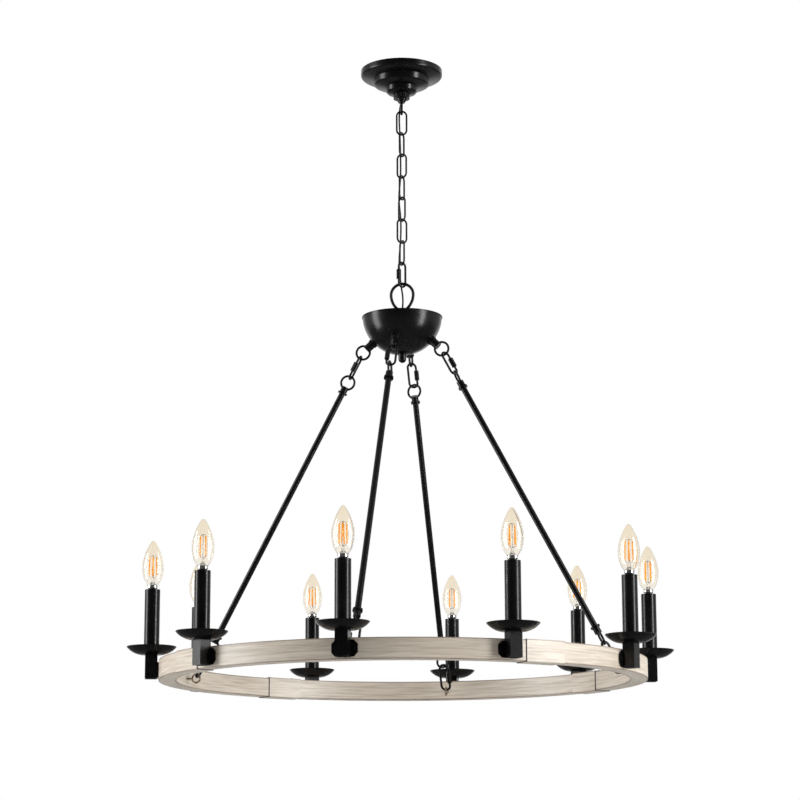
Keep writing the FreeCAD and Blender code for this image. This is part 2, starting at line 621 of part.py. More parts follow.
def make_hanger(index, nut_side, low_nut_side):
    """One hanger: its upper link with nut, its rod with two eyes, and its lower link with nut."""
    label = index + 1
    frame = hanger_frame(index)
    lay = [("Z", f"link_lay_{label}")]

    for name, kind, low, side in (("upper_link", "quick", UPPER_LINK_LOW, nut_side),
                                  ("lower_link", "low", LOWER_LINK_LOW, low_nut_side)):
        body = new_body(f"{name}_{label}",
                        f"{frame} * {place(turns=lay)}")
        middle = quick_link(body, "Link", kind, low, side)
        link_nut(body, "Nut", kind, middle, side)

    body = new_body(f"hanger_rod_{label}", frame)
    ring_turns = [("Z", f"eye_lay_{label}"), ("X", "90")]
    collar_far = "(head_start + head_length + rod_collar_length)"
    for name, level, flip in (("Upper", ROD_EYE_HIGH, "-1"), ("Lower", ROD_EYE_LOW, "1")):
        eye(body, name + "Eye", "eye_radius", "eye_wire", place(z=f"-{level}", turns=ring_turns))

        def stack(part, radius, near, length):
            start = f"({near})" if flip == "1" else f"(-({near}) - ({length}))"
            rod(body, name + part, radius, length, place(z=f"{start} - {level}"))

        stack("Head", "head_diameter / 2", "head_start", "head_length")
        stack("Collar", "rod_collar_diameter / 2", "head_start + head_length", "rod_collar_length")
        stack("Spigot", "rod_diameter / 2 - rod_wall - thread_fit", collar_far, "spigot_length")
    tube = sketch_on(body, "TubeOutline", "XY_Plane",
                     place(z=f"{collar_far} + thread_fit - {ROD_EYE_LOW}"))
    draw_circle(tube, "0", "0", "rod_diameter / 2")
    draw_circle(tube, "0", "0", "rod_diameter / 2 - rod_wall")
    pad = body.newObject("PartDesign::Pad", "Tube")
    pad.Profile = tube
    bind(pad, Length=f"{ROD_EYE_LOW} - {ROD_EYE_HIGH} - 2 * ({collar_far} + thread_fit)")


# ---------------------------------------------------------------- wheel

def rectangle(inner, outer, low, high):
    """The four corners of an upright rectangle between two radii."""
    return [(inner, low), (outer, low), (outer, high), (inner, high)]


def bent_tube(body, name, sizes, wall, start, sweep):
    """A rectangular tube bent about the wheel's axis, from one angle over a sweep."""
    inner, outer, low, high = sizes
    at = place(turns=[("Y", f"{start} - 90")])
    sketch = sketch_on(body, name + "Outline", "XZ_Plane", at)
    draw(sketch, rectangle(inner, outer, low, high))
    draw(sketch, rectangle(f"{inner} + {wall}", f"{outer} - {wall}", f"{low} + {wall}",
                           f"{high} - {wall}"))
    feature = body.newObject("PartDesign::Revolution", name)
    feature.Profile = sketch
    feature.ReferenceAxis = (sketch, ["V_Axis"])
    bind(feature, Angle=sweep)


CANDLE_OUT = "(ring_outer + sheet_fit + plate_thick + bracket_size / 2)"
PLATE_LEVEL = "(plate_middle - wheel_drop)"
SCREW_HOLE = "screw_diameter / 2 + thread_fit"


def candle_angle(index):
    """The angle of one candle about the wheel."""
    return f"({index} * 360 / candle_count)"


def plate_screw_place(angle, side, radius, inward=True):
    """A placement at a plate's screw, its own Z pointing to the wheel's axis, or away from it."""
    spot = f"{side} * plate_screw_place"
    x = f"({radius}) * sin({angle}) + ({spot}) * cos({angle})"
    y = f"-({radius}) * cos({angle}) + ({spot}) * sin({angle})"
    return place(x, y, PLATE_LEVEL, [("Z", angle), ("X", "-90" if inward else "90")])


def sleeve_screw_place(joint, side, z, turns=()):
    """A placement over the middle of the ring's top face, beside a joint."""
    angle = f"({joint} + {side} * sleeve_screw_angle)"
    return ring_place("(ring_outer + ring_inner) / 2", angle, z, turns)


def make_ring_segments():
    """Four pieces of rectangular tube that make the wheel, drilled for screws and eyes."""
    gap = "(joint_gap / ring_outer * 180 / pi)"
    candle_count = int(number("candle_count"))
    for index in range(SEGMENT_COUNT):
        first = f"joint_{index}" if index else f"(joint_{SEGMENT_COUNT} - 360)"
        finish = f"joint_{index + 1}"
        body = new_body(f"ring_segment_{index + 1}")
        bent_tube(body, "Tube", ("ring_inner", "ring_outer", "-wheel_drop", "ring_height - wheel_drop"),
                  "ring_wall", f"({first} + {gap} / 2)", f"{finish} - {first} - {gap}")
        low, high = number(first), number(finish)
        for candle in range(-candle_count // 2, candle_count):
            angle = candle_angle(candle)
            if not low < number(angle) < high:
                continue
            for side, word in SIDES:
                bore(body, f"PlateHole{candle % candle_count + 1}{word}", SCREW_HOLE, "4 * ring_wall",
                     plate_screw_place(angle, side, "ring_outer + ring_wall"))
        turn = f"{index} * 360 / {HANGER_COUNT}"
        bore(body, "EyeHole", "ring_eye_wire / 2 + thread_fit", "4 * ring_wall",
             ring_place("ring_inner - ring_wall", turn, "ring_eye_height - wheel_drop", [("X", "90")]))
        for joint, side, name in ((first, "1", "Start"), (finish, "-1", "Finish")):
            bore(body, name + "ScrewHole", SCREW_HOLE, "4 * ring_wall",
                 sleeve_screw_place(joint, side, "ring_height - wheel_drop - 2 * ring_wall"))


def make_joint_sleeves():
    """Four short sleeves over the joints, each drilled on top for two screws."""
    body = new_body("joint_sleeves")
    reach = "(sleeve_fit + sleeve_wall)"
    for index in range(SEGMENT_COUNT):
        joint = f"joint_{index + 1}"
        bent_tube(body, f"Sleeve{index + 1}",
                  (f"ring_inner - {reach}", f"ring_outer + {reach}", f"-wheel_drop - {reach}",
                   f"ring_height - wheel_drop + {reach}"),
                  "sleeve_wall", f"({joint} - sleeve_half_angle)", "2 * sleeve_half_angle")
    for index in range(SEGMENT_COUNT):
        for side, word in SIDES:
            bore(body, f"Hole{index + 1}{word}", SCREW_HOLE, "4 * sleeve_wall",
                 sleeve_screw_place(f"joint_{index + 1}", side,
                                    "ring_height - wheel_drop - sleeve_wall"))


def pan_head_screw(body, name, at, head_at):
    """A small round-headed screw: its shank along Z of one placement, its head of another."""
    rod(body, name + "Shank", "screw_diameter / 2", "screw_grip", at)
    rod(body, name + "Head", "screw_head / 2", "screw_head_height", head_at)


def make_wheel_screws():
    """The small screws of the wheel: two in each bracket plate and two in each joint sleeve."""
    body = new_body("wheel_screws")
    seat = "ring_outer + sheet_fit + plate_thick"
    for side, word in SIDES:
        pan_head_screw(body, word, plate_screw_place("0", side, seat),
                       plate_screw_place("0", side, seat, inward=False))
    repeat_around(body, "candle_count")
    top = "ring_height - wheel_drop + sleeve_fit + sleeve_wall"
    for index in range(SEGMENT_COUNT):
        for side, word in SIDES:
            joint = f"joint_{index + 1}"
            pan_head_screw(body, f"Joint{index + 1}{word}",
                           sleeve_screw_place(joint, side, f"{top} - screw_grip"),
                           sleeve_screw_place(joint, side, top))


def make_ring_eyes():
    """Four eyes in the ring's inner wall, each a small ring on a level shank."""
    body = new_body("ring_eyes")
    centre = "(ring_inner - ring_eye_stand)"
    level = "ring_eye_height - wheel_drop"
    eye(body, "Ring", "ring_eye_radius", "ring_eye_wire",
        place("0", f"-{centre}", level, [("Y", "90")]))
    rod(body, "Shank", "ring_eye_wire / 2", "ring_eye_stand - ring_eye_radius + ring_eye_engaged",
        place("0", f"-{centre} - ring_eye_radius", level, [("X", "90")]))
    repeat_around(body, f"{HANGER_COUNT}")


def make_bracket_plates():
    """Eight-cornered plates flat against the ring's outer wall."""
    body = new_body("bracket_plates")
    half, tall, cut = "plate_width / 2", "plate_height / 2", "plate_cut"
    corners = [
        (f"-{half}", f"{cut} - {tall}"), (f"{cut} - {half}", f"-{tall}"),
        (f"{half} - {cut}", f"-{tall}"), (half, f"{cut} - {tall}"),
        (half, f"{tall} - {cut}"), (f"{half} - {cut}", tall),
        (f"{cut} - {half}", tall), (f"-{half}", f"{tall} - {cut}"),
    ]
    holes = [(f"{side}plate_screw_place", "0", SCREW_HOLE) for side in ("-", "")]
    at = place("0", PLATE_LEVEL, "ring_outer + sheet_fit")
    plate(body, "Plate", corners, holes, "plate_thick", plane="XZ_Plane", at=at)
    repeat_around(body, "candle_count")


def make_candle_brackets():
    """Short upright square tubes, closed at the top, that carry the pans."""
    body = new_body("candle_brackets")
    y = f"-{CANDLE_OUT}"
    inside = "bracket_size - 2 * bracket_wall"
    box(body, "Tube", "bracket_size", "bracket_size", "bracket_top - bracket_bottom",
        y=y, z="bracket_bottom - wheel_drop")
    box(body, "Inside", inside, inside, "bracket_top - bracket_bottom - bracket_wall",
        y=y, z="bracket_bottom - wheel_drop", kind="SubtractiveBox")
    bore(body, "StemHole", "socket_stem / 2 + thread_fit", "2 * bracket_wall",
         place(y=y, z="bracket_top - 2 * bracket_wall - wheel_drop"))
    repeat_around(body, "candle_count")


def at_candle():
    """Where the outline of a turned piece stands on the YZ plane: on candle 1's axis, at ring level."""
    return place(f"-{CANDLE_OUT}", "-wheel_drop", "0")


def make_drip_pans():
    """Shallow dishes that stand on the brackets."""
    body = new_body("drip_pans")
    hole = "socket_stem / 2 + thread_fit"
    rim = "bracket_top + pan_depth"
    slope = "atan(pan_depth / (pan_radius - pan_foot))"
    inward, upward = f"pan_sheet * sin({slope})", f"pan_sheet * cos({slope})"
    middle = "(pan_radius + pan_foot + pan_sag) / 2"
    middle_height = "bracket_top + (pan_depth - pan_sag) / 2"
    turned(body, "Pan", [
        (hole, "bracket_top"),
        ("pan_foot", "bracket_top"),
        ("pan_radius", rim, middle, middle_height),
        (f"pan_radius - {inward}", f"{rim} + {upward}"),
        (f"pan_foot - {inward}", "bracket_top + pan_sheet",
         f"{middle} - {inward}", f"{middle_height} + {upward}"),
        (hole, "bracket_top + pan_sheet"),
    ], plane="YZ_Plane", at=at_candle())
    repeat_around(body, "candle_count")


def make_candle_sleeves():
    """Straight tubes that stand in the pans and look like candles."""
    body = new_body("candle_sleeves")
    floor = "bracket_top + pan_sheet"
    outer = "candle_diameter / 2"
    turned(body, "Tube", rectangle(f"{outer} - candle_wall", outer, floor, "candle_top"),
           plane="YZ_Plane", at=at_candle())
    repeat_around(body, "candle_count")


def make_lamp_sockets():
    """Sockets on hollow stems, with the nuts that clamp pan and bracket between them."""
    body = new_body("lamp_sockets")
    stem, hollow = "socket_stem / 2", "socket_stem_bore / 2"
    low = "bracket_top - socket_stem_below"
    turned(body, "Socket", [
        (hollow, low),
        (stem, low),
        (stem, "socket_start"),
        ("socket_diameter / 2", "socket_start"),
        ("socket_diameter / 2", "socket_top"),
        ("socket_bore / 2", "socket_top"),
        ("socket_bore / 2", "socket_floor"),
        (hollow, "socket_floor"),
    ], plane="YZ_Plane", at=at_candle())
    nut(body, "Nut", "socket_nut_across", "socket_stem / 2 + thread_fit", "socket_nut_height",
        place(y=f"-{CANDLE_OUT}", z="bracket_top - bracket_wall - socket_nut_height - wheel_drop"))
    repeat_around(body, "candle_count")


def make_bulbs():
    """Candle bulbs: a screw cap with its collar, a glass envelope and the glass mount inside it."""
    cap, collar = "cap_diameter / 2", "cap_collar / 2"
    base = "(glass_base + thread_fit)"
    inner_nose = "glass_nose - glass_wall"
    half_up = "(90 + glass_nose_lean) / 2"

    def on_nose(radius, lean):
        """A point of the glass's round tip, so many degrees above level."""
        return (f"({radius}) * cos({lean})",
                f"{base} + glass_length - glass_nose + ({radius}) * sin({lean})")

    for index in range(int(number("candle_count"))):
        body = new_body(f"bulb_{index + 1}",
                        ring_place(CANDLE_OUT, candle_angle(index), "-wheel_drop"))
        turned(body, "Cap", [
            ("0", "cap_bottom"),
            ("cap_tip", "cap_bottom"),
            (cap, "cap_bottom + cap_tip"),
            (cap, "glass_base - cap_collar_height"),
            (collar, "glass_base - cap_collar_height + cap_collar_slope"),
            (collar, "glass_base"),
            ("0", "glass_base"),
        ])
        turned(body, "Glass", [
            ("glass_neck", base),
            ("glass_radius", f"{base} + glass_belly",
             "glass_shoulder", f"{base} + glass_shoulder_height"),
            on_nose("glass_nose", "glass_nose_lean") + ("glass_side", f"{base} + glass_side_height"),
            ("0", f"{base} + glass_length") + on_nose("glass_nose", half_up),
            ("0", f"{base} + glass_length - glass_wall"),
            on_nose(inner_nose, "glass_nose_lean") + on_nose(inner_nose, half_up),
            ("glass_radius - glass_wall", f"{base} + glass_belly",
             "glass_side - glass_wall", f"{base} + glass_side_height"),
            ("glass_neck - glass_wall", base,
             "glass_shoulder - glass_wall", f"{base} + glass_shoulder_height"),
        ])
        turned(body, "Mount", [
            ("0", base),
            ("mount_radius", base),
            ("mount_radius / 2", f"{base} + mount_height"),
            ("0", f"{base} + mount_height"),
        ])


# ---------------------------------------------------------------- supply cord

# The cord's route, chosen by hand: distance from the chain's axis, angle from +X towards +Y, and
# height below the ceiling. It runs down the stem, weaves down the chain beside each crossing of two
# links, and enters the hub's collar. Its last points, inside the hub, leave the nipple's window.
CORD_ROUTE = [
    (0.4, 20, 1), (0.7, 110, 19), (0.7, 250, 38), (0.5, 200, 55),
    (6.0, 152.5, 74.4),
    (6.0, 134.5, 112.6), (6.0, 121.5, 151.0), (6.0, 120.5, 189.5), (6.0, 198, 227.9),
    (6.0, 268.5, 266.4), (6.0, 261.5, 304.8), (6.0, 180.5, 343.2), (6.4, 118, 381.0),
    (3.8, 75, 403.0), (0.3, 20, 425.0),
    (0.3, 0, 444.0), (14, 0, 466.5), (14, 0, 486.0),
]


# How much of the shorter run beside a point its arc takes.
ARC_SHARE = 0.45


def cord_points():
    """The route's points."""
    return [FreeCAD.Vector(out * math.cos(math.radians(turn)), out * math.sin(math.radians(turn)), -drop)
            for out, turn, drop in CORD_ROUTE]


def make_supply_cord():
    """The cord as a tube along straight runs joined by tangent arcs."""
    points = cord_points()
    edges, radii = [], []
    start = points[0]
    for before, corner, after in zip(points, points[1:], points[2:]):
        into, out = corner - before, after - corner
        turn = into.getAngle(out)
        reach = ARC_SHARE * min(into.Length, out.Length)
        radii.append(reach / math.tan(turn / 2))
        into.normalize()
        out.normalize()
        first, last = corner - into * reach, corner + out * reach
        middle_line = (out - into).normalize()
        sag = radii[-1] * (1 / math.cos(turn / 2) - 1)
        edges.append(Part.LineSegment(start, first).toShape())
        edges.append(Part.Arc(first, corner + middle_line * sag, last).toShape())
        start = last
    edges.append(Part.LineSegment(start, points[-1]).toShape())
    path = Part.Wire(edges)
    radius = number("cord_diameter / 2")
    section = Part.Wire(Part.Circle(points[0], points[1] - points[0], radius).toShape())
    tube = path.makePipeShell([section], True, False)
    expected = math.pi * radius ** 2 * path.Length
    cord = document.addObject("Part::Feature", "supply_cord")
    cord.Label = "supply_cord"
    cord.Shape = tube
    print("cord radii", [round(value, 1) for value in radii])
    print(f"cord length {path.Length:.1f}, volume {tube.Volume:.1f} of {expected:.1f}")


# ---------------------------------------------------------------- build, check and write

make_crossbar()
make_earth_screw()
make_stem()
make_canopy_loop()
make_canopy()
make_collar_nut()
make_chain()
make_top_quick_link()
make_hub_loop()
make_hub_lid()
make_hub_bowl()
make_hub_nipple()
make_finial()
make_hub_nuts()
make_terminal_block()
make_hub_eyes()
for hanger, sides in enumerate((("-1", "-1"), ("1", "1"), ("-1", "-1"), ("1", "1"))):
    make_hanger(hanger, *sides)
make_ring_segments()
make_joint_sleeves()
make_wheel_screws()
make_ring_eyes()
make_bracket_plates()
make_candle_brackets()
make_drip_pans()
make_candle_sleeves()
make_lamp_sockets()
make_bulbs()
make_supply_cord()
document.recompute()

parts = [thing for thing in document.Objects
         if thing.TypeId == "PartDesign::Body" or thing.Label == "supply_cord"]
faults = [thing.FullName for thing in document.Objects
          if "Invalid" in thing.State or "Error" in thing.State]
faults += [part.Label for part in parts if part.Shape.isNull() or not part.Shape.isValid()]
if faults:
    raise RuntimeError(f"failed: {faults}")

os.makedirs("parts", exist_ok=True)
for part in parts:
    part.Shape.exportStep(f"parts/{part.Label}.step")
    print(part.Label, len(part.Shape.Solids), round(part.Shape.Volume, 1))
print(len(parts), "parts")
for title, text in (("hub top", HUB_TOP), ("lid top", LID_TOP), ("bowl bottom", BOWL_BOTTOM),
                    ("eye out", EYE_OUT), ("eye drop", EYE_DROP), ("hanger length", HANGER_LENGTH),
                    ("hanger tilt", HANGER_TILT), ("candle out", CANDLE_OUT)):
    print(title, round(number(text), 3))
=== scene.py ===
# %% [markdown]
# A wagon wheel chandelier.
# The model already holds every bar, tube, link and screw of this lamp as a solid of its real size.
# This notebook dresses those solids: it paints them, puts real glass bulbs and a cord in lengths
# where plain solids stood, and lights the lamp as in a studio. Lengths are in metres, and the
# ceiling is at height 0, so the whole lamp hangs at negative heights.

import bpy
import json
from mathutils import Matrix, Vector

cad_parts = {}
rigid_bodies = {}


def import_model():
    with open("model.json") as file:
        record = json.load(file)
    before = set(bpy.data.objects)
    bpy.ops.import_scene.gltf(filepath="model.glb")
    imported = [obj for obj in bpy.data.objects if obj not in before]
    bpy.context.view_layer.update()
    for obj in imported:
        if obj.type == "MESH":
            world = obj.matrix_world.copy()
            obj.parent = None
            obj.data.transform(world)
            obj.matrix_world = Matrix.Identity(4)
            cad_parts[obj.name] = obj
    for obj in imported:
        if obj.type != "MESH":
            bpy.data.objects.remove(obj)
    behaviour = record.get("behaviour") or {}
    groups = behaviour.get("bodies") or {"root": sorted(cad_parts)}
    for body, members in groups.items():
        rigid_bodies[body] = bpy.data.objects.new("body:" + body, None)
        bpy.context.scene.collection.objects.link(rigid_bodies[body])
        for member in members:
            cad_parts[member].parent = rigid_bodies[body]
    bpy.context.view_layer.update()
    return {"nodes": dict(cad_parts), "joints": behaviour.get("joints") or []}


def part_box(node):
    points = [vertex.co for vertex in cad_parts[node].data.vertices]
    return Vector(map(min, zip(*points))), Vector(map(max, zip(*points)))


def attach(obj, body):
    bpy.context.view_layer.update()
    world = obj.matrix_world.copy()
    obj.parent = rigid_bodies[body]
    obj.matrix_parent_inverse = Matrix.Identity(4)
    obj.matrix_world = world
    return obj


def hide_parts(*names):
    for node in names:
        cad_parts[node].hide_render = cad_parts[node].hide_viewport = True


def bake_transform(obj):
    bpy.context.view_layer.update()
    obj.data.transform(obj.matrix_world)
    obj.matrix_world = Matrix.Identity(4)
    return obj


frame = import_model()

# %% Tools and short names
import json
import math

import bmesh
import bpy
from mathutils import Euler, Matrix, Vector

scene = bpy.context.scene
scene.view_settings.view_transform = "Standard"
nodes = frame["nodes"]
MILLIMETRE = 0.001
BULBS = 10
HANGERS = 4
RING_QUARTERS = 4
CHAIN_LINKS = 7

# %% [markdown]
# The camera comes first, because it settles what the picture can show. The photographer stood
# almost four metres away with the lens a little under the wheel and tilted up, so we see the
# wheel's underside. A long lens keeps the uprights nearly parallel. We could aim the camera with a
# constraint, but a fixed turn, tilt and roll are easier to read and to match.

# %% Place the camera
CAMERA_TURN = math.radians(12.5)     # seen from above, from the first candle towards +X
CAMERA_AWAY = 3.883
CAMERA_HEIGHT = -1.3853
AIM_TURN = math.radians(12.56)
AIM_TILT = math.radians(11.73)
AIM_ROLL = math.radians(-0.15)
FOCAL_PIXELS = 2365.6
IMAGE_PIXELS = 800

lens = bpy.data.cameras.new("camera")
lens.lens = FOCAL_PIXELS / IMAGE_PIXELS * lens.sensor_width
camera = bpy.data.objects.new("camera", lens)
scene.collection.objects.link(camera)
camera.location = (CAMERA_AWAY * math.sin(CAMERA_TURN), -CAMERA_AWAY * math.cos(CAMERA_TURN),
                   CAMERA_HEIGHT)
aim = Euler((math.pi / 2 + AIM_TILT, 0, AIM_TURN)).to_matrix() @ Matrix.Rotation(AIM_ROLL, 3, "Z")
camera.rotation_euler = aim.to_euler()
scene.camera = camera
print(f"lens {lens.lens:.1f} mm")

# %% [markdown]
# Materials are built from nodes. Two small helpers keep that readable: one adds a node and fills
# its sockets, with numbers or with the output of another node, and one does arithmetic.

# %% Helpers for materials
def add_node(tree, kind, sockets=(), **settings):
    """Add a node. Each socket gets a plain value, or is joined to another node's output."""
    node = tree.nodes.new(kind)
    for name, value in settings.items():
        setattr(node, name, value)
    for socket, value in dict(sockets).items():
        if isinstance(value, bpy.types.NodeSocket):
            tree.links.new(value, node.inputs[socket])
        else:
            node.inputs[socket].default_value = value
    return node


def reckon(tree, operation, first, second=0.0):
    """One step of arithmetic on numbers or outputs."""
    return add_node(tree, "ShaderNodeMath", {0: first, 1: second}, operation=operation).outputs[0]


def new_finish(name, **sockets):
    """An empty finish: its node tree and its shader, with the shader's plain values set."""
    finish = bpy.data.materials.new(name)
    finish.use_nodes = True
    shader = finish.node_tree.nodes["Principled BSDF"]
    for socket, value in sockets.items():
        shader.inputs[socket.replace("_", " ")].default_value = value
    return finish, finish.node_tree, shader


def place_on(tree):
    """Where a point lies on its piece, in metres."""
    return add_node(tree, "ShaderNodeTexCoord").outputs["Object"]


def cloud(tree, place, scale, detail=4.0, fourth=None):
    """Soft random patches, 0 to 1, that stick to the piece. A fourth direction may be added."""
    values = {"Vector": place, "Scale": scale, "Detail": detail}
    if fourth is None:
        return add_node(tree, "ShaderNodeTexNoise", values).outputs[0]
    values["W"] = fourth
    return add_node(tree, "ShaderNodeTexNoise", values, noise_dimensions="4D").outputs[0]


def spread(tree, value, low, high, to_low, to_high):
    """Stretch a range of values onto another, held at its ends."""
    sockets = {"Value": value, "From Min": low, "From Max": high,
               "To Min": to_low, "To Max": to_high}
    return add_node(tree, "ShaderNodeMapRange", sockets).outputs["Result"]


def vary(tree, noise, to_low, to_high):
    """Stretch a noise, which mostly stays between 0.3 and 0.7, onto a range of values."""
    return spread(tree, noise, 0.3, 0.7, to_low, to_high)


def blend_colours(tree, share, first, second):
    """The first colour, turning into the second as the share goes from 0 to 1."""
    # This node has a set of sockets for each kind of data. 6 and 7 are the two colours' own.
    node = add_node(tree, "ShaderNodeMix", {0: share, 6: first, 7: second}, data_type="RGBA")
    return node.outputs[2]


def roughen(tree, shader, height, depth, strength=0.5):
    """Give the shader small bumps as deep as depth."""
    sockets = {"Height": height, "Distance": depth, "Strength": strength}
    bump = add_node(tree, "ShaderNodeBump", sockets)
    tree.links.new(bump.outputs["Normal"], shader.inputs["Normal"])


def paint(finish, slot, *names):
    """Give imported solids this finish."""
    for name in names:
        solid = nodes[name]
        solid.data.materials.clear()
        solid.data.materials.append(finish)


def numbered(name, count):
    """The names of a numbered family of solids."""
    return [f"{name}_{index + 1}" for index in range(count)]


# %% [markdown]
# Most of the lamp is steel under a semi-gloss black powder coat. A flat black would look like a
# hole in the picture. Real powder coat has faint clouds in its colour, patches that shine a little
# more or less, and a skin like very fine orange peel, so those three go on one noise each. The
# uprights and turned parts are smoother than the bent wire, so one recipe makes both.

# %% The black enamel
DARK_ENAMEL = (0.0025, 0.0025, 0.0027, 1)
PALE_ENAMEL = (0.0055, 0.0055, 0.006, 1)
PATCH_SCALE = 22.0     # about so many clouds to the metre
GRAIN_SCALE = 420.0
PEEL_SCALE = 900.0
PATCH_SHARE = 0.7      # of the shine's unevenness; the fine grain makes the rest


def black_enamel(name, roughness, peel_depth):
    """Black powder coat. peel_depth is the height of its skin's grain."""
    finish, tree, shader = new_finish(name, Specular_IOR_Level=0.32)
    place = place_on(tree)
    patches = cloud(tree, place, PATCH_SCALE, 5.0)
    fine = cloud(tree, place, GRAIN_SCALE, 3.0)
    colour = blend_colours(tree, spread(tree, patches, 0.35, 0.7, 0.0, 1.0),
                           DARK_ENAMEL, PALE_ENAMEL)
    tree.links.new(colour, shader.inputs["Base Color"])
    mixed = reckon(tree, "ADD", reckon(tree, "MULTIPLY", patches, PATCH_SHARE),
                   reckon(tree, "MULTIPLY", fine, 1 - PATCH_SHARE))
    uneven = vary(tree, mixed, roughness * 0.8, roughness * 1.25)
    tree.links.new(uneven, shader.inputs["Roughness"])
    roughen(tree, shader, cloud(tree, place, PEEL_SCALE, 2.0), peel_depth)
    return finish


smooth_black = black_enamel("smooth_black_enamel", 0.24, 0.00004)
wire_black = black_enamel("wire_black_enamel", 0.33, 0.00007)
paint(smooth_black, "black_metal", "canopy", "collar_nut", "canopy_loop", "hub_lid", "hub_bowl",
      "finial", "bracket_plates", "candle_brackets", "drip_pans", "candle_sleeves",
      *numbered("hanger_rod", HANGERS))
paint(wire_black, "black_metal", "top_quick_link", "top_link_nut", "hub_loop", "hub_eyes",
      "wheel_screws", *numbered("upper_link", HANGERS), *numbered("lower_link", HANGERS))
paint(wire_black, "chain_black", *numbered("chain_link", CHAIN_LINKS))
black_solids = [solid for solid in nodes.values() if "black" in solid.data.materials[0].name]
print("black enamel on", len(black_solids), "solids")

# %% [markdown]
# The wheel is the eye-catcher: steel tube with a pale, whitewashed coat that is brushed along the
# ring, like limed oak. The brush lines run round the wheel, so the pattern must be long in that
# direction and very fine across it. Noise in four dimensions does this without a seam: the slow
# directions are x and y, and the fast ones are the height and the distance from the axis. The coat
# is rubbed through to brown along the tube's edges, so the finish also needs to know how near the
# surface is to an edge. We measure the tube for that.

# %% Measure the wheel
def radii(name):
    """The least and greatest distance of a solid from the lamp's axis."""
    outs = [math.hypot(vertex.co.x, vertex.co.y) for vertex in nodes[name].data.vertices]
    return min(outs), max(outs)


ring_inner, ring_outer = radii("ring_segment_1")
ring_low, ring_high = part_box("ring_segment_1")[0].z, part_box("ring_segment_1")[1].z
ring_middle = ((ring_inner + ring_outer) / 2, (ring_low + ring_high) / 2)
ring_half = ((ring_outer - ring_inner) / 2, (ring_high - ring_low) / 2)
print(f"tube {2000 * ring_half[0]:.1f} by {2000 * ring_half[1]:.1f} mm, radius {ring_outer:.4f} m")

# %% [markdown]
# Where two quarters of the wheel meet, a short sleeve is fixed to one of them and the other slides
# in. The shade in the gap at the sleeve's loose end shows as a dark line, which goes into the coat
# as a painted shadow. We find those ends from the sleeves themselves: their two ends, as angles
# about the axis, and then the loose one of each pair. The first quarter slides into both of its
# neighbours, and the third carries both of its sleeves.

# %% Find the sleeves' loose ends
SLEEVES_APART = math.radians(30)     # a jump this large leads to the next sleeve


def turn_of(point):
    """The angle about the axis, from -Y towards +X, from 0 to a full turn."""
    return math.atan2(point.x, -point.y) % math.tau


sleeve_turns = sorted(turn_of(vertex.co) for vertex in nodes["joint_sleeves"].data.vertices)
breaks = [index for index in range(1, len(sleeve_turns))
          if sleeve_turns[index] - sleeve_turns[index - 1] > SLEEVES_APART]
starts = [sleeve_turns[index] for index in [0] + breaks]
ends = [sleeve_turns[index - 1] for index in breaks + [len(sleeve_turns)]]
loose_ends = starts[:2] + ends[2:]
print("loose sleeve ends at", [round(math.degrees(turn), 1) for turn in loose_ends], "degrees")

# %% The whitewashed coat
LIMED = (0.68, 0.595, 0.49, 1)
CREAM = (0.79, 0.715, 0.615, 1)
GRAIN = (0.33, 0.25, 0.17, 1)
RUBBED = (0.17, 0.10, 0.055, 1)
# the colour of the painted shadow in the gaps at the sleeves' loose ends
PAINTED_GAP_SHADOW = (0.012, 0.009, 0.007, 1)
BAND_STRENGTH = 0.42     # how much of the grain's colour the broad and the fine lines bring
HAIR_STRENGTH = 0.3
RUBBED_TO = 0.0013       # the coat is rubbed about this far from an edge
WHOLE_FROM = 0.0026      # and is whole from here on
RAGGED_BY = 0.0012
BRUSH_DEPTH = 0.00012


